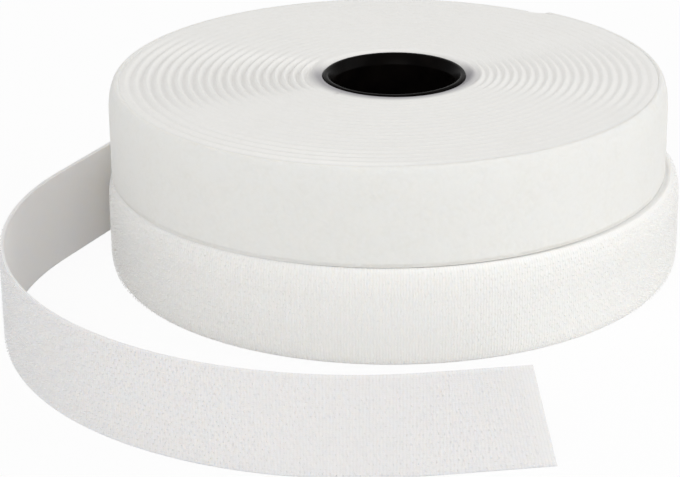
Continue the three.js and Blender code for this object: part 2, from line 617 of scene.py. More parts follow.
@dataclass(frozen=True)
class Winding:
    """A tape's spiral in plan: the pitch grows evenly and each turn's centre drifts along X."""

    thickness: float
    turns: float
    inner_gap: float
    outer_gap: float
    end_angle: float
    drift: float
    start_radius: float = 15.95

    def angle(self, turn: Array | float) -> Array:
        """Gives the angle from +X at a turn, in radians."""
        return math.radians(self.end_angle) - 2.0 * math.pi * (self.turns - np.asarray(turn, float))

    def face_radius(self, turn: Array | float) -> Array:
        """Gives the radius of the tape's outer face.

        Args:
            turn: Turns from the inner end.

        Returns:
            The radius at each turn.
        """
        turn = np.asarray(turn, float)
        inner_pitch, outer_pitch = self.thickness + self.inner_gap, self.thickness + self.outer_gap
        growth = (outer_pitch - inner_pitch) / (2.0 * self.turns)
        return self.start_radius + self.thickness + inner_pitch * turn + growth * turn * turn

    def room(self, turn: Array) -> Array:
        """Gives the distance from a turn's outer face to that of the turn inside it."""
        step = self.face_radius(turn) - self.face_radius(turn - 1.0)
        return step + self.drift / self.turns * np.cos(self.angle(turn))

    def place(self, turn: Array | float, outwards: Array | float) -> Array:
        """Gives plan points.

        Args:
            turn: Turns from the inner end.
            outwards: Distances out from the tape's outer face.

        Returns:
            Points with x and y on the last axis.
        """
        turn = np.asarray(turn, float)
        reach = self.face_radius(turn) + outwards
        points = direction(self.angle(turn)) * reach[..., None]
        points[..., 0] += self.drift * turn / self.turns
        return points

    def lengths(self, turns: Array, outwards: float = 0.0) -> Array:
        """Gives the distance along the tape at each of a list of turns.

        Args:
            turns: Turns from the inner end.
            outwards: How far out from the tape's outer face the distance is measured.

        Returns:
            Distances from the first of the turns.
        """
        steps = np.linalg.norm(np.diff(self.place(turns, outwards), axis=0), axis=1)
        return np.concatenate([[0.0], np.cumsum(steps)])


@dataclass(frozen=True)
class TailRoute:
    """The free end's middle line: straight off the roll, round a wide arc, then straight again."""

    winding: Winding
    lead: float = 34.0
    arc_radius: float = 71.0
    arc_sweep: float = 124.5
    end_run: float = 21.5
    cut_slant: float = 4.8

    @property
    def arc_length(self) -> float:
        """Length of the arc."""
        return self.arc_radius * math.radians(self.arc_sweep)

    @property
    def length(self) -> float:
        """Length of the whole free end."""
        return self.lead + self.arc_length + self.end_run

    @property
    def start(self) -> Array:
        """Plan point where the free end leaves the roll."""
        return self.winding.place(self.winding.turns, -self.winding.thickness / 2.0)

    def heading(self, distance: Array | float) -> Array:
        """Gives the direction of travel.

        Args:
            distance: Distances along the free end.

        Returns:
            Angles from +X, in radians.
        """
        turned = (np.asarray(distance, float) - self.lead) / self.arc_radius
        start = math.radians(self.winding.end_angle) + math.pi / 2.0
        return start + np.clip(turned, 0.0, math.radians(self.arc_sweep))

    def place(self, distance: Array | float, outwards: Array | float) -> Array:
        """Gives plan points.

        Args:
            distance: Distances along the free end.
            outwards: Distances out from the tape's outer face.

        Returns:
            Points with x and y on the last axis.
        """
        distance = np.asarray(distance, float)
        first = float(self.heading(0.0))
        corner = self.start + direction(first) * self.lead
        centre = corner + direction(first + math.pi / 2.0) * self.arc_radius
        heading = self.heading(distance)
        on_arc = centre + direction(heading - math.pi / 2.0) * self.arc_radius
        before = np.minimum(distance - self.lead, 0.0)
        after = np.maximum(distance - self.lead - self.arc_length, 0.0)
        middle = on_arc + direction(heading) * (before + after)[..., None]
        outwards = np.asarray(outwards, float) + self.winding.thickness / 2.0
        return middle + direction(heading - math.pi / 2.0) * outwards[..., None]


@dataclass(frozen=True)
class Station:
    """One point of a tape's section, as shares of the sizes that shape it."""

    fixed: float = 0.0
    edge: float = 0.0
    bare: float = 0.0
    shoulder: float = 0.0
    ground: float = 0.0
    bed: float = 0.0
    pocket: float = 0.0


@dataclass(frozen=True)
class TapeProfile:
    """A tape's cross-section: ground cloth with bare edges, and a bed on it with rounded shoulders."""

    bare_edge: float = 0.02
    width: float = TAPE_WIDTH
    edge_steps: int = 7
    shoulder_steps: int = 6
    face_steps: int = 3
    pocket_inset: float = 2.2
    pocket_slope: float = 0.4

    def half(self, pressed: bool) -> list[Station]:
        """Lists the stations of one half, from the middle of the back round the edge to the face.

        Args:
            pressed: Whether the bed lies against the next turn, in a soft wave, or is free and round.

        Returns:
            The stations, as many for either kind. The first BACK_STATIONS lie on the back.
        """
        stations = [
            Station(fixed=self.pocket_inset + self.pocket_slope, pocket=1.0),
            Station(fixed=self.pocket_inset),
        ]
        for step in range(self.edge_steps + 1):
            share = step / self.edge_steps
            stations.append(Station(edge=0.5 + 0.5 * math.cos(math.pi * share), ground=share))
        for step in range(self.shoulder_steps + 1):
            share = step / self.shoulder_steps
            swing = math.pi / 2.0 * share
            fall, rise = 1.0 - math.cos(swing), math.sin(swing)
            if pressed:
                fall, rise = 0.5 - 0.5 * math.cos(math.pi * share), share
            stations.append(Station(bare=1.0, shoulder=fall, ground=1.0, bed=rise))
        for step in range(1, self.face_steps):
            share = step / self.face_steps
            inset, left = share * self.width / 2.0, 1.0 - share
            stations.append(Station(fixed=inset, bare=left, shoulder=left, ground=1.0, bed=1.0))
        return stations


@dataclass
class TapeStrip:
    """A strip of tape as rings of section points along a route. Sizes are lists, one for each ring."""

    profile: TapeProfile
    along: Array
    back: Array
    bed: Array
    ground: Array
    edge: Array
    pocket: Array
    low_shoulder: Array
    high_shoulder: Array
    lower_edge: Array
    upper_edge: Array
    pressed: Array
    across: Array = field(init=False)
    outwards: Array = field(init=False)
    map_across: Array = field(init=False)

    def __post_init__(self) -> None:
        """Works out every ring's points across and out from the tape's outer face."""
        low = self.lower_edge[:, None] + self.mixed(self.insets, self.low_shoulder)
        high = self.upper_edge[:, None] - self.mixed(self.insets, self.high_shoulder)
        out = self.mixed(self.heights)
        self.across = np.concatenate([low, high[:, ::-1]], axis=1)
        self.outwards = np.concatenate([out, out[:, ::-1]], axis=1)
        middle = len(self.across) // 2
        up = self.across[middle] - self.lower_edge[middle]
        on_back = np.zeros(len(up), bool)
        on_back[:BACK_STATIONS] = on_back[-BACK_STATIONS:] = True
        self.map_across = np.where(on_back, 2.0 * self.profile.width - up, up)
        self.map_across[:BACK_STATIONS] -= 2.0 * self.profile.width

    def mixed(self, measure: Callable[..., Array], *sizes: Array) -> Array:
        """Measures the free and the pressed section and mixes them.

        Args:
            measure: The method that measures the stations of one half.
            sizes: More sizes for it.

        Returns:
            A row of measures for every ring.
        """
        free = measure(self.profile.half(pressed=False), *sizes)
        pressed = measure(self.profile.half(pressed=True), *sizes)
        return free + (pressed - free) * self.pressed[:, None]

    def insets(self, half: list[Station], shoulder: Array) -> Array:
        """Measures the stations' distances from their edge.

        Args:
            half: The stations of one half.
            shoulder: The height of that half's shoulder, for every ring.

        Returns:
            A row of distances for every ring.
        """
        fixed, edge, bare, rise = (
            np.array([getattr(station, name) for station in half])
            for name in ("fixed", "edge", "bare", "shoulder")
        )
        return fixed + bare * self.profile.bare_edge + edge * self.edge[:, None] + rise * shoulder[:, None]

    def heights(self, half: list[Station]) -> Array:
        """Measures the stations' distances out from the tape's outer face.

        Args:
            half: The stations of one half.

        Returns:
            A row of distances for every ring.
        """
        ground, bed, pocket = (
            np.array([getattr(station, name) for station in half]) for name in ("ground", "bed", "pocket")
        )
        grown = ground * self.ground[:, None] + bed * self.bed[:, None] + pocket * self.pocket[:, None]
        return grown - self.back[:, None]

    def build(self, name: str, plan: Array) -> Piece:
        """Joins the rings into a closed strip with a map of its length and width.

        Args:
            name: The piece's name.
            plan: Plan points of every ring, in millimetres.

        Returns:
            The new object.
        """
        rings, count = self.across.shape
        points = np.concatenate([plan, self.across[..., None]], axis=-1).reshape(-1, 3)
        first = np.arange(rings - 1)[:, None] * count
        near = first + np.arange(count)
        far = first + (np.arange(count) + 1) % count
        quads = np.stack([near, near + count, far + count, far], axis=-1).reshape(-1, 4)
        caps = [tuple(range(count)), tuple(range(len(points) - 1, len(points) - 1 - count, -1))]
        piece = mesh_piece(name, points, [*map(tuple, quads.tolist()), *caps])
        self.write_map(piece.data)
        return piece

    def write_map(self, mesh: bpy.types.Mesh) -> None:
        """Maps each face corner to its distance along and across the tape, in millimetres.

        Args:
            mesh: The closed strip, with its two end faces last.
        """
        rings, count = self.across.shape
        width = np.append(self.map_across, 2.0 * self.profile.width + self.map_across[0])
        rows = np.empty((rings - 1, count, 4, 2))
        rows[:, :, 0, 0] = rows[:, :, 3, 0] = self.along[:-1, None]
        rows[:, :, 1, 0] = rows[:, :, 2, 0] = self.along[1:, None]
        rows[:, :, 0, 1] = rows[:, :, 1, 1] = width[:-1]
        rows[:, :, 2, 1] = rows[:, :, 3, 1] = width[1:]
        ends = np.zeros((2, count, 2))
        ends[0] = np.stack([np.full(count, self.along[0]), self.map_across], axis=-1)
        ends[1] = np.stack([np.full(count, self.along[-1]), self.map_across[::-1]], axis=-1)
        layer = mesh.uv_layers.new(name=TAPE_MAP)
        layer.uv.foreach_set("vector", np.concatenate([rows.ravel(), ends.ravel()]).astype(np.float32))


@dataclass(frozen=True)
class HookRows:
    """Rows of small bent filament hooks, standing on a tape's ground cloth."""

    height: float = 0.38
    bend: tuple[Span, ...] = ((-0.14, -0.08), (-0.24, 0.42), (-0.12, 0.82), (0.19, 1.0), (0.47, 0.72))
    radius: float = 0.08
    sides: int = 3
    pitch: float = 1.1
    row_pitch: float = 0.91
    row_offsets: Span = (0.25, 0.75)
    first_row: float = 0.9
    rows: int = 21
    jitter: float = 0.22
    seed: int = 11

    def template(self) -> tuple[Array, Faces]:
        """Models one hook.

        Returns:
            Its points as distances along the tape, across it and out from the cloth, and its faces.
        """
        line = np.array(self.bend) * self.height
        tangent = np.gradient(line, axis=0)
        tangent /= np.linalg.norm(tangent, axis=1, keepdims=True)
        points = []
        for (lean, out), (turn, rise) in zip(line, tangent):
            for side in range(self.sides):
                swing = 2.0 * math.pi * side / self.sides
                aside, ahead = self.radius * math.cos(swing), self.radius * math.sin(swing)
                points.append((ahead, lean - rise * aside, out + turn * aside))
        faces = []
        for ring in range(len(line) - 1):
            for side in range(self.sides):
                a = ring * self.sides + side
                b = ring * self.sides + (side + 1) % self.sides
                faces.append((a, b, b + self.sides, a + self.sides))
        last = (len(line) - 1) * self.sides
        faces.append(tuple(reversed(range(self.sides))))
        faces.append(tuple(range(last, last + self.sides)))
        return np.array(points), faces

    def places(self, length: float) -> Array:
        """Lists where the hooks stand on a stretch of tape.

        Args:
            length: The stretch's length.

        Returns:
            Rows of distance along, distance across and lean, which is 1 or -1.
        """
        draw = random.Random(self.seed)
        found = []
        for row in range(self.rows):
            offset = self.pitch * self.row_offsets[row % 2]
            for step in range(int((length - offset) / self.pitch)):
                along = offset + step * self.pitch + draw.uniform(-self.jitter, self.jitter)
                across = self.first_row + row * self.row_pitch + draw.uniform(-self.jitter, self.jitter)
                found.append((along, across, 1.0 if row % 2 else -1.0))
        return np.array(found)

    def stand(self, length: float) -> tuple[Array, Array, Array, Faces]:
        """Copies the hook to every place on a stretch of tape.

        Args:
            length: The stretch's length.

        Returns:
            Every point's distance along, across and out from the cloth, and the faces.
        """
        places = self.places(length)
        shape, faces = self.template()
        along = places[:, :1] + shape[:, 0] * places[:, 2:]
        across = places[:, 1:2] + shape[:, 1] * places[:, 2:]
        out = np.broadcast_to(shape[:, 2], along.shape)
        count = len(shape)
        joined = [tuple(i + n * count for i in face) for n in range(len(places)) for face in faces]
        return along.ravel(), across.ravel(), out.ravel(), joined


@dataclass
class WoundTape:
    """What both tapes share: a strip wound on a core so that it fills the room between its turns."""

    winding: Winding
    profile: TapeProfile = TapeProfile()
    steps_per_turn: int = 110
    outer_steps: int = 721
    outer_ease: float = 0.012
    clearance: float = 0.002
    core_radius: float = 15.0
    core_clearance: float = 0.08
    strip_pocket: float = 0.62
    strip_turns: Span = (0.175, 0.2)
    start_step: Span = (0.9998, 0.9999)
    first_ground: tuple[float, float, float] = (1.3, 0.75, 0.45)
    first_edge: Span = (0.28, 0.55)
    first_lap: float = 0.16
    unevenness: float = 0.03
    uneven_wave: Span = (0.31, 3.7)

    def turns(self) -> Array:
        """Lists the turns, from the inner end, at which the strip has a section."""
        even = np.linspace(0.0, self.winding.turns, int(self.winding.turns * self.steps_per_turn) + 1)
        return np.union1d(even, self.start_step)

    def outer_turn(self, stop_short: float = 0.0) -> tuple[Array, Array]:
        """Steps along the outermost turn.

        Args:
            stop_short: The part of a turn that is left out at the tape's end.

        Returns:
            Turns from the inner end, and the distance along the tape at each.
        """
        start = self.winding.turns - 1.0 + self.outer_ease
        turn = np.linspace(start, self.winding.turns - stop_short, self.outer_steps)
        return turn, self.winding.lengths(turn)

    def on_last(self, turn: Array) -> Array:
        """Gives 0 on the inner turns, rising to 1 where the outermost one starts."""
        return smoothstep(turn, self.winding.turns - 1.0, self.winding.turns - 1.0 + self.outer_ease)

    def on_first(self, turn: Array, first: Array | float, usual: Array | float) -> Array:
        """Gives one size on the first turn and the usual one on the others."""
        return first + (usual - first) * smoothstep(turn, *self.start_step)

    def ground_width(self, turn: Array, usual: Array | float) -> Array:
        """Gives the ground cloth's part of the thickness, more on the first turn, which dips to the core.

        Args:
            turn: Turns from the inner end.
            usual: The width on the other turns.

        Returns:
            The width at each turn.
        """
        start, growth, lap = self.first_ground
        width = start + growth * turn + lap * (1.0 - smoothstep(turn, 0.0, self.first_lap))
        return self.on_first(turn, width, usual)

    def edge_dip(self, turn: Array, usual: Array | float) -> Array:
        """Gives how far the edge dips at the tape's back, more on the first turn, beside the core."""
        least, more = self.first_edge
        return self.on_first(turn, least + more * np.sin(math.pi * turn) ** 2, usual)

    def filled(self, turn: Array) -> Array:
        """Gives the thickness that reaches down to the turn inside, or to the core from the first turn."""
        to_core = self.winding.face_radius(turn) - self.core_radius - self.core_clearance
        return self.on_first(turn, to_core, self.winding.room(turn) - self.clearance)

    def pocket(self, turn: Array) -> Array:
        """Gives the depth of the hollow in the back where the first turn lies over its adhesive strip."""
        return self.strip_pocket * (1.0 - smoothstep(turn, *self.strip_turns))

    def uneven(self, turn: Array) -> Array:
        """Gives how far each turn's upper edge falls short of the tape's full width."""
        return self.unevenness * (0.5 + 0.5 * wander(turn, *self.uneven_wave))

    def wound_length(self) -> float:
        """Gives the length of tape in the winding, at the middle of its thickness."""
        return float(self.winding.lengths(self.turns(), -self.winding.thickness / 2.0)[-1])


@dataclass
class HookTape(WoundTape):
    """The hook tape: its wound length and its free end, both with hooks where they show."""

    hooks: HookRows = HookRows()
    wound_ground: float = 1.02
    wound_edge: float = 0.06
    bed_shoulder: float = 0.06
    low_shoulder: float = 4.0
    high_shoulder: float = 5.0
    outer_bed: float = 1.3
    bare_bed: float = 0.03
    leave_turns: float = 0.07
    tail_step: float = 1.0
    free_ground: float = 0.55
    free_edge: float = 0.25
    blend_length: float = 25.0
    cloth_sharp: float = 50.0
    hook_sharp: float = 80.0

    @property
    def shown_back(self) -> float:
        """Distance from the hooks' tips to the back of the cloth they stand on."""
        return self.hooks.height + self.free_ground

    def leaving(self, turn: Array) -> Array:
        """Gives 0 on the roll, rising to 1 where the free end leaves it."""
        return smoothstep(turn, self.winding.turns - self.leave_turns, self.winding.turns)

    def rounded(self, turn: Array) -> Array:
        """Gives the depth of the outermost turn's rounded shoulders, which flatten where it leaves."""
        return self.outer_bed + (self.bare_bed - self.outer_bed) * self.leaving(turn)

    def build_wound(self) -> Piece:
        """Builds the wound length, with a plain bed between turns and bare cloth under the shown hooks.

        Returns:
            The new object.
        """
        turn = self.turns()
        last, leaving = self.on_last(turn), self.leaving(turn)
        back = self.filled(turn)
        back = back + (self.shown_back - back) * leaving
        bed = back - self.ground_width(turn, self.wound_ground)
        bed = bed + (self.rounded(turn) - bed) * last
        round_off = last * (1.0 - leaving)
        edge = self.edge_dip(turn, self.wound_edge)
        strip = TapeStrip(
            profile=self.profile,
            along=self.winding.lengths(turn),
            back=back,
            bed=bed,
            ground=back - bed - self.hooks.height * last,
            edge=edge + (self.free_edge - edge) * leaving,
            pocket=self.pocket(turn),
            low_shoulder=self.bed_shoulder + (self.low_shoulder - self.bed_shoulder) * round_off,
            high_shoulder=self.bed_shoulder + (self.high_shoulder - self.bed_shoulder) * round_off,
            lower_edge=np.zeros_like(turn),
            upper_edge=self.profile.width - self.uneven(turn) * (1.0 - last),
            pressed=1.0 - last,
        )
        return strip.build("hook_tape_wound", self.winding.place(turn[:, None], strip.outwards))

    def build_wound_hooks(self) -> Piece:
        """Builds the hooks on the outermost turn.

        Returns:
            The new object.
        """
        turn, lengths = self.outer_turn()
        along, across, out, faces = self.hooks.stand(lengths[-1])
        at = np.interp(along, lengths, turn)
        low = across - self.profile.bare_edge
        high = self.profile.width - 2.0 * self.profile.bare_edge - low
        fall = self.rounded(at) * shoulder_fall(low / self.low_shoulder, high / self.high_shoulder)
        plan = self.winding.place(at, out - self.hooks.height - fall)
        return mesh_piece("hook_rows_wound", np.column_stack([plan, across]), faces)

    def tail_rings(self, route: TailRoute) -> Array:
        """Gives the distances along the free end at which it has a section."""
        return np.linspace(0.0, route.length, int(route.length / self.tail_step) + 1)

    def slanted(self, route: TailRoute, distance: Array, across: Array) -> Array:
        """Shifts distances so that the free end's cut is longer at its lower edge.

        Args:
            route: The free end's route.
            distance: Distances along the route.
            across: Heights over the lower edge.

        Returns:
            The shifted distances.
        """
        near_cut = smoothstep(distance, route.length - route.end_run, route.length)
        return distance + near_cut * route.cut_slant * (0.5 - across / self.profile.width)

    def build_tail(self, route: TailRoute) -> Piece:
        """Builds the free end's cloth.

        Args:
            route: The free end's route.

        Returns:
            The new object.
        """
        distance = self.tail_rings(route)
        even = np.ones_like(distance)
        strip = TapeStrip(
            profile=self.profile,
            along=distance,
            back=self.shown_back * even,
            bed=self.bare_bed * even,
            ground=self.free_ground * even,
            edge=self.free_edge * even,
            pocket=0.0 * even,
            low_shoulder=self.bed_shoulder * even,
            high_shoulder=self.bed_shoulder * even,
            lower_edge=0.0 * even,
            upper_edge=self.profile.width * even,
            pressed=0.0 * even,
        )
        at = self.slanted(route, np.broadcast_to(distance[:, None], strip.across.shape), strip.across)
        return strip.build("hook_tape_free_end", route.place(at, strip.outwards))

    def build_tail_hooks(self, route: TailRoute) -> Piece:
        """Builds the hooks on the free end, up to its slanted cut.

        Args:
            route: The free end's route.

        Returns:
            The new object.
        """
        along, across, out, faces = self.hooks.stand(route.length - route.cut_slant / 4.0)
        at = self.slanted(route, along, across)
        plan = route.place(at, out - self.hooks.height)
        return mesh_piece("hook_rows_free_end", np.column_stack([plan, across]), faces)

    def build(self, roll: TapeFinish, free_end: TapeFinish) -> None:
        """Builds and dresses the tape and sets what its wound length moves with.

        Args:
            roll: Finish of the wound length.
            free_end: Finish of the free end, a single layer that lets some light through, with painted
                shade away from the roll.
        """
        route = TailRoute(self.winding)
        wound, wound_hooks = self.build_wound(), self.build_wound_hooks()
        tail, tail_hooks = self.build_tail(route), self.build_tail_hooks(route)
        for cloth, hooks, finish in ((wound, wound_hooks, roll), (tail, tail_hooks, free_end)):
            smooth_shade(cloth, self.cloth_sharp)
            paint(cloth, finish.cloth)
            smooth_shade(hooks, self.hook_sharp)
            paint(hooks, finish.filament)
        for piece in (wound, wound_hooks):
            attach(piece, Body.HOOK_ROLL.value)
        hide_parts("hook_tape")
        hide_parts("hook_tape_tail")
        middle = self.profile.width / 2.0
        leaves = Vector((*route.start, middle)) * MM
        bent = leaves + Vector((*direction(float(route.heading(0.0))), 0.0)) * self.blend_length * MM
        for piece in (tail, tail_hooks):
            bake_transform(piece)
        rings = self.tail_rings(route)
        line = np.column_stack([route.place(rings, -self.shown_back / 2.0), np.full_like(rings, middle)])
        self.wound_length() * MM
        log.info("hook tape: %.0f mm wound and %.0f mm free", self.wound_length(), route.length)


@dataclass
class LoopTape(WoundTape):
    """The loop tape: a wound length with a soft pile, whose end lies flat on the roll.

    Turns in its sizes are counted back from the tape's outer end where they are below 0.
    """

    base: float = LOOP_BASE
    settle: float = 0.19
    ground_share: float = 0.46
    ripples: Span = (0.62, 0.38)
    ripple_start: Span = (1.0, 1.25)
    level_share: float = 0.08
    level_sides: Span = (0.83, 0.985)
    left_share: float = 0.33
    outer_fade: float = 0.6
    fade_turns: Span = (-3.0, -0.5)
    ridge_depth: float = 0.24
    ridge_angle: float = 236.0
    ridge_sides: Span = (0.75, 0.97)
    ridge_turns: Span = (-5.0, -2.5)
    slip_depth: float = 0.25
    slip_turns: Span = (-0.567, -0.456)
    slip_ends: Span = (-0.442, -0.303)
    low_shoulder: float = 0.04
    high_shoulder: float = 5.5
    outer_pile: float = 1.75
    end_gap: float = 0.001
    pile_skin: float = 0.22
    skin_depth: float = 0.44
    skin_lap: float = 0.1
    lap_reach: float = 0.2
    lap_dip: float = 0.05
    unevenness: float = 0.012
    uneven_wave: Span = (0.27, 8.1)
    skin_step: float = 0.45
    face_rows: int = 29
    shoulder_rows: int = 14
    lap_rows: int = 2
    tuft: float = 0.14
    tuft_size: float = 0.62
    swell_size: Span = (9.0, 4.0)
    tuft_layers: Span = (1.5, 4.5)
    tuft_shares: Span = (0.8, 0.25)
    tuft_level: float = 0.5
    sideways: float = 0.5
    cloth_sharp: float = 70.0
    skin_sharp: float = 80.0

    @property
    def lower(self) -> float:
        """Height of the lower edges, settled on the roll below."""
        return self.base - self.settle

    def ripple(self, turn: Array) -> Array:
        """Gives how deep the edges dip where two turns meet: most at the left, least in front and behind.

        Args:
            turn: Turns from the inner end.

        Returns:
            The dip at each turn.
        """
        inner, outer = self.ripples
        angle = self.winding.angle(turn)
        to_end = turn - self.winding.turns
        right = np.cos(angle)
        aside = smoothstep(np.abs(right), *self.level_sides)
        dip = (inner + (outer - inner) * turn / self.winding.turns) * smoothstep(turn, *self.ripple_start)
        dip = dip * (1.0 - self.outer_fade * smoothstep(to_end, *self.fade_turns))
        dip = dip * (self.level_share + (1.0 - self.level_share) * aside) * (1.0 - self.left_share * right)
        ridge = smoothstep(np.cos(angle - math.radians(self.ridge_angle)), *self.ridge_sides)
        return dip + self.ridge_depth * ridge * smoothstep(to_end, *self.ridge_turns)

    def slip(self, turn: Array) -> Array:
        """Gives how far the outermost turn's upper edge has slipped down, at the front left.

        Args:
            turn: Turns from the inner end.

        Returns:
            The slip at each turn.
        """
        to_end = turn - self.winding.turns
        slipped = self.slip_depth * smoothstep(to_end, *self.slip_turns)
        return slipped * (1.0 - smoothstep(to_end, *self.slip_ends))

    def build_wound(self) -> Piece:
        """Builds the wound length, with the pile pressed between its turns and free on the last one.

        Returns:
            The new object.
        """
        turn = self.turns()
        last = self.on_last(turn)
        back = self.filled(turn)
        pile = back - self.ground_width(turn, back * self.ground_share)
        pile = pile + (self.outer_pile - pile) * last
        join = self.ripple(turn + 1.0) + self.slip(turn + 1.0) * (1.0 - last)
        top = self.base + self.profile.width - self.uneven(turn) - self.slip(turn) - self.skin_lap * last
        strip = TapeStrip(
            profile=self.profile,
            along=self.winding.lengths(turn),
            back=back,
            bed=pile - self.pile_skin * last,
            ground=back - pile,
            edge=self.edge_dip(turn, self.ripple(turn)),
            pocket=self.pocket(turn),
            low_shoulder=self.low_shoulder + self.ripple(turn + 1.0) * (1.0 - last),
            high_shoulder=join + (self.high_shoulder - join) * last,
            lower_edge=np.full_like(turn, self.lower),
            upper_edge=top,
            pressed=1.0 - last,
        )
        return strip.build("loop_tape_wound", self.winding.place(turn[:, None], strip.outwards))

    def build_skin(self) -> Piece:
        """Builds the pile's tufted skin on the outermost turn: its face, soft shoulder and upper edge.

        Returns:
            The new object.
        """
        turn, lengths = self.outer_turn(self.end_gap)
        along = np.linspace(0.0, lengths[-1], int(lengths[-1] / self.skin_step) + 1)
        at = np.interp(along, lengths, turn)[:, None]
        low = self.lower + self.profile.bare_edge
        high = self.base + self.profile.width - self.unevenness - self.slip(at)
        swing = np.linspace(0.0, math.pi / 2.0, self.shoulder_rows)
        lap = np.linspace(0.0, 1.0, self.lap_rows + 1)[1:]
        flat = np.linspace(0.0, 1.0, self.face_rows, endpoint=False)
        face_height = low + (high - self.high_shoulder - low) * flat
        shoulder_height = high - self.high_shoulder * (1.0 - np.sin(swing))
        lap_height = high - (self.ripple(at) + self.lap_dip) * lap * lap
        height = np.concatenate([face_height, shoulder_height, lap_height], axis=1)
        fall = np.concatenate([np.zeros_like(flat), 1.0 - np.cos(swing), np.ones_like(lap)])
        fall[0] = 1.0
        beyond = np.concatenate([np.zeros(self.face_rows + self.shoulder_rows), lap])
        out = self.tufts(along, height) * (1.0 - fall) - fall * self.outer_pile
        out = out - beyond * (self.filled(at) + self.lap_reach - self.outer_pile)
        upwards = np.concatenate([np.zeros_like(flat), np.sin(swing), np.ones_like(lap)])
        inwards = np.sqrt(1.0 - upwards * upwards)
        grids = []
        for depth in (0.0, self.skin_depth):
            plan = self.winding.place(np.broadcast_to(at, out.shape), out - inwards * depth)
            level = height - upwards * depth
            grids.append(np.concatenate([plan, level[..., None]], axis=-1).reshape(-1, 3))
        return mesh_piece("loop_pile_skin", np.concatenate(grids), self.skin_faces(*out.shape))

    def tufts(self, along: Array, height: Array) -> Array:
        """Gives how far the pile's tufts lie below its outer face at each point of a grid.

        Args:
            along: Distances along the tape.
            height: A grid of heights over the floor, with a row for each distance.

        Returns:
            A grid of rises, which are mostly below 0.
        """
        length, width = self.swell_size
        fine_layer, broad_layer = self.tuft_layers
        fine_share, broad_share = self.tuft_shares
        grid = np.empty_like(height)
        for i, a in enumerate(along):
            for k, b in enumerate(height[i]):
                fine = noise.noise(Vector((a / self.tuft_size, b / self.tuft_size, fine_layer)))
                broad = noise.noise(Vector((a / length, b / width, broad_layer)))
                grid[i, k] = self.tuft * (fine_share * fine + broad_share * broad - self.tuft_level)
        return grid

    def skin_faces(self, rows: int, columns: int) -> Faces:
        """Lists the faces of a closed skin made of a front and a rear grid.

        Args:
            rows: Rows of points in each grid.
            columns: Points in each row.

        Returns:
            The faces, with those of the rim last.
        """
        size = rows * columns
        faces = []
        for i in range(rows - 1):
            for k in range(columns - 1):
                a = i * columns + k
                quad = (a, a + columns, a + columns + 1, a + 1)
                faces.append(quad)
                faces.append(tuple(size + n for n in reversed(quad)))
        rim = [i * columns for i in range(rows)]
        rim += [(rows - 1) * columns + k for k in range(1, columns)]
        rim += [i * columns + columns - 1 for i in range(rows - 2, -1, -1)]
        rim += list(range(columns - 2, 0, -1))
        for a, b in zip(rim, rim[1:] + rim[:1]):
            faces.append((b, a, a + size, b + size))
        return faces

    def build(self, pile: Material, edge: Material) -> None:
        """Builds and dresses the tape and sets what it moves with.

        Args:
            pile: The material of the pile and of the faces that look sideways.
            edge: The material of the wound length's edges.
        """
        wound, skin = self.build_wound(), self.build_skin()
        smooth_shade(wound, self.cloth_sharp)
        smooth_shade(skin, self.skin_sharp)
        paint(wound, edge)
        wound.data.materials.append(pile)
        for face in wound.data.polygons:
            face.material_index = int(abs(face.normal.z) < self.sideways)
        paint(skin, pile)
        for piece in (wound, skin):
            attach(piece, Body.LOOP_ROLL.value)
        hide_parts("loop_tape")
        self.wound_length() * MM
        log.info("loop tape: %.0f mm wound", self.wound_length())


# Cores


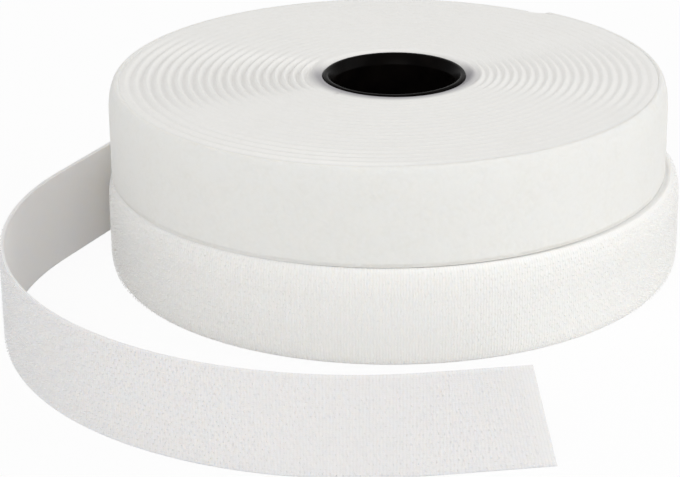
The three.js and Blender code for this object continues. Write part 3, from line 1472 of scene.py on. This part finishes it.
@dataclass(frozen=True)
class Core:
    """One moulded core ring, with rounded lips and a lead-in at both ends of its bore."""

    name: str
    node: str
    body: Body
    base: float
    height: float = 19.55
    bore_radius: float = 12.7
    wall: float = 2.3
    lip_radius: float = 0.5
    lip_steps: int = 6
    land_width: float = 0.5
    lead_in_depth: float = 2.0
    edge_round: float = 0.3
    edge_steps: int = 3
    segments: int = 128
    tolerance: float = 0.001
    sharp: float = 35.0

    def build(self) -> Piece:
        """Models the wall's section as a plane and spins it round the bore axis.

        Returns:
            The new ring.
        """
        deselect()
        middle = ((self.bore_radius + self.wall / 2.0) * MM, 0.0, (self.base + self.height / 2.0) * MM)
        bpy.ops.mesh.primitive_plane_add(size=1.0, location=middle, rotation=(math.radians(90.0), 0.0, 0.0))
        piece = bpy.context.active_object
        piece.name = piece.data.name = self.name
        piece.scale = (self.wall * MM, self.height * MM, 1.0)
        bpy.ops.object.transform_apply(location=True, rotation=True, scale=True)
        bpy.ops.object.mode_set(mode="EDIT")
        for end in (-1.0, 1.0):
            self.cut_lead_in(end)
        self.round_corners(piece)
        bpy.ops.mesh.select_all(action="SELECT")
        bpy.ops.mesh.delete(type="ONLY_FACE")
        bpy.ops.mesh.select_all(action="SELECT")
        bpy.ops.mesh.spin(steps=self.segments, angle=math.tau, center=(0.0, 0.0, 0.0), axis=(0.0, 0.0, 1.0))
        bpy.ops.mesh.select_all(action="SELECT")
        bpy.ops.mesh.remove_doubles(threshold=2.0 * self.tolerance * MM)
        bpy.ops.mesh.normals_make_consistent(inside=False)
        bpy.ops.object.mode_set(mode="OBJECT")
        smooth_shade(piece, self.sharp)
        return piece

    def cut_lead_in(self, end: float) -> None:
        """Slices the bore's corner off the section, which is in edit mode.

        Args:
            end: Which end of the bore, -1 for the lower and 1 for the upper.
        """
        run = self.wall - self.lip_radius - self.land_width
        edge = self.base + self.height * (0.5 + 0.5 * end)
        outwards = Vector((-self.lead_in_depth, 0.0, end * run)).normalized()
        bpy.ops.mesh.select_all(action="SELECT")
        bpy.ops.mesh.bisect(
            plane_co=((self.bore_radius + run) * MM, 0.0, edge * MM),
            plane_no=outwards,
            clear_outer=True,
        )

    def round_corners(self, piece: Piece) -> None:
        """Rounds the section's outer corners to the lip radius and its others a little.

        Args:
            piece: The section, in edit mode.
        """
        outer = (self.bore_radius + self.wall) * MM
        corners = ((False, self.edge_round, self.edge_steps), (True, self.lip_radius, self.lip_steps))
        for is_outer, radius, steps in corners:
            bpy.ops.mesh.select_all(action="DESELECT")
            bpy.ops.object.mode_set(mode="OBJECT")
            for vertex in piece.data.vertices:
                vertex.select = (abs(vertex.co.x - outer) < self.tolerance * MM) == is_outer
            bpy.ops.object.mode_set(mode="EDIT")
            bpy.ops.mesh.select_mode(type="VERT")
            bpy.ops.mesh.bevel(offset=radius * MM, segments=steps, affect="VERTICES", clamp_overlap=True)

    def dress(self, piece: Piece, plastic: Material) -> None:
        """Gives the ring its finish and its body, and hides the node it stands for.

        Args:
            piece: The ring.
            plastic: Its material.
        """
        paint(piece, plastic)
        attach(piece, self.body.value)
        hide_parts(self.node)
        log.info("%s: %d faces", self.name, len(piece.data.polygons))


@dataclass(frozen=True)
class StartStrips:
    """The adhesive strips that hold the tapes' inner ends, dressed as they are packed."""

    nodes: tuple[str, ...] = ("hook_start_strip", "loop_start_strip")

    def dress(self, packed: dict[str, Piece], film: Material) -> None:
        """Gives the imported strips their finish.

        Args:
            packed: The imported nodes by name.
            film: The film's material.
        """
        for name in self.nodes:
            paint(packed[name], film)
            log.info("%s: packed solid with film finish", name)


# Studio


def seen_rays(graph: NodeGraph) -> Socket:
    """Tells rays that show the background from those that light the object.

    Args:
        graph: The nodes of the floor or the sky.

    Returns:
        1 for rays from the camera, a gloss or a clear piece, and 0 for light.
    """
    path = graph.add("LightPath").outputs
    seen = graph.math("MAXIMUM", path["Is Camera Ray"], path["Is Glossy Ray"])
    return graph.math("MAXIMUM", seen, path["Is Transmission Ray"])


@dataclass(frozen=True)
class StudioFloor:
    """A pale floor that shows almost white and keeps a faint shadow."""

    colour: Colour = (0.93, 0.93, 0.93)
    whitening: float = 0.93
    half_size: float = 3000.0
    cells: int = 8
    drop: float = 0.05

    def material(self) -> Material:
        """Builds the finish.

        Returns:
            A matt material that is part white to the camera.
        """
        graph = NodeGraph(bpy.data.materials.new("studio_floor"))
        matt = graph.add("BsdfDiffuse", {"Color": rgba(self.colour)})
        white = graph.add("Emission", {"Color": WHITE, "Strength": 1.0})
        seen = graph.math("MULTIPLY", seen_rays(graph), self.whitening)
        return graph.close(graph.add("MixShader", {0: seen, 1: matt.outputs[0], 2: white.outputs[0]}))

    def build(self) -> None:
        """Lays the floor just under the object."""
        deselect()
        bpy.ops.mesh.primitive_grid_add(
            x_subdivisions=self.cells,
            y_subdivisions=self.cells,
            size=2.0 * self.half_size * MM,
            location=(0.0, 0.0, -self.drop * MM),
        )
        floor = bpy.context.active_object
        floor.name = "studio_floor"
        paint(floor, self.material())


@dataclass(frozen=True)
class StudioSky:
    """An even pale light from all round, shown as white."""

    level: float = 0.567

    def build(self) -> None:
        """Sets the scene's world."""
        graph = NodeGraph(bpy.data.worlds.new("studio_sky"), "OutputWorld")
        light = graph.add("Background", {"Color": WHITE, "Strength": self.level})
        shown = graph.add("Background", {"Color": WHITE, "Strength": 1.0})
        mix = graph.add("MixShader", {0: seen_rays(graph), 1: light.outputs[0], 2: shown.outputs[0]})
        bpy.context.scene.world = graph.close(mix)


@dataclass(frozen=True)
class SoftLamp:
    """A large square lamp that points at the middle of the object."""

    name: str
    place: Point
    size: float
    watts: float
    aim: Point = (0.0, 0.0, 20.0)

    def build(self) -> None:
        """Adds the lamp."""
        data = bpy.data.lights.new(self.name, "AREA")
        data.shape = "SQUARE"
        data.size = self.size * MM
        data.energy = self.watts
        lamp = bpy.data.objects.new(self.name, data)
        bpy.context.scene.collection.objects.link(lamp)
        lamp.location = Vector(self.place) * MM
        gaze = (Vector(self.aim) - Vector(self.place)).normalized()
        lamp.rotation_euler = gaze.to_track_quat("-Z", "Y").to_euler()


@dataclass(frozen=True)
class StudioCamera:
    """A camera at the photograph's viewing angle, looking along +Y and down."""

    eye: Point = (-11.75, -479.88, 194.41)
    pitch_deg: float = 21.75
    roll_deg: float = -0.65
    focal_pixels: float = 2400.0
    picture_width: float = 680.0
    sensor_width: float = 36.0
    clip: Span = (10.0, 20000.0)

    def build(self) -> None:
        """Adds the camera and makes it the scene's own."""
        data = bpy.data.cameras.new("studio_camera")
        data.sensor_fit = "HORIZONTAL"
        data.sensor_width = self.sensor_width
        data.lens = self.focal_pixels / self.picture_width * self.sensor_width
        data.clip_start, data.clip_end = (distance * MM for distance in self.clip)
        camera = bpy.data.objects.new("studio_camera", data)
        bpy.context.scene.collection.objects.link(camera)
        tilt = Matrix.Rotation(math.radians(90.0 - self.pitch_deg), 4, "X")
        roll = Matrix.Rotation(math.radians(self.roll_deg), 4, "Z")
        camera.matrix_world = Matrix.Translation(Vector(self.eye) * MM) @ tilt @ roll
        bpy.context.scene.camera = camera


@dataclass(frozen=True)
class Studio:
    """The floor, sky, camera and lamps round the object."""

    lamps: tuple[SoftLamp, ...] = (
        SoftLamp("front_lamp", (-450.0, -2570.0, 1400.0), 2000.0, 31.0),
        SoftLamp("side_lamp", (1000.0, -94.0, 653.0), 800.0, 3.4),
    )

    def build(self) -> None:
        """Builds the studio with plain colour management."""
        bpy.context.scene.view_settings.view_transform = "Standard"
        for part in (StudioFloor(), StudioSky(), StudioCamera(), *self.lamps):
            part.build()


HOOK_WINDING = Winding(
    thickness=1.4, turns=20.0, inner_gap=0.55, outer_gap=1.12, end_angle=153.5, drift=-0.92)
LOOP_WINDING = Winding(
    thickness=1.1, turns=21.5, inner_gap=0.6, outer_gap=1.14, end_angle=49.0, drift=-1.96)
# The free end's cloth and filament carry painted shade that darkens them away from the roll.
FREE_CLOTH = WovenGround("free_cloth", softness=1.0, soft_scale=0.0008, layer=PaintedTailShade())
FREE_FILAMENT = HookFilament("free_filament", layer=PaintedTailShade())
LOOP_EDGE = LoopPile(
    "loop_edge",
    softness=0.05,
    crest=(0.952, 0.941, 0.912),
    valley=(0.927, 0.915, 0.883),
    # Painted shade deep in the grooves between turns.
    groove_shade=0.14,
)
CORES = (
    Core("hook_core_ring", "hook_core", Body.HOOK_ROLL, base=0.0),
    Core("loop_core_ring", "loop_core", Body.LOOP_ROLL, base=LOOP_BASE, height=19.95),
)


def main() -> None:
    """Builds the studio and the object."""
    logging.basicConfig(level=logging.INFO, format="%(name)s: %(message)s")
    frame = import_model()
    Studio().build()
    plastic = MouldedPlastic().material()
    roll = TapeFinish(WovenGround("hook_cloth").material(), HookFilament("hook_filament").material())
    free_end = TapeFinish(FREE_CLOTH.material(), FREE_FILAMENT.material())
    HookTape(HOOK_WINDING).build(roll, free_end)
    LoopTape(LOOP_WINDING).build(LoopPile("loop_pile").material(), LOOP_EDGE.material())
    for core in CORES:
        core.dress(core.build(), plastic)
    StartStrips().dress(frame["nodes"], AdhesiveFilm().material())
    deselect()


if __name__ == "__main__":
    main()
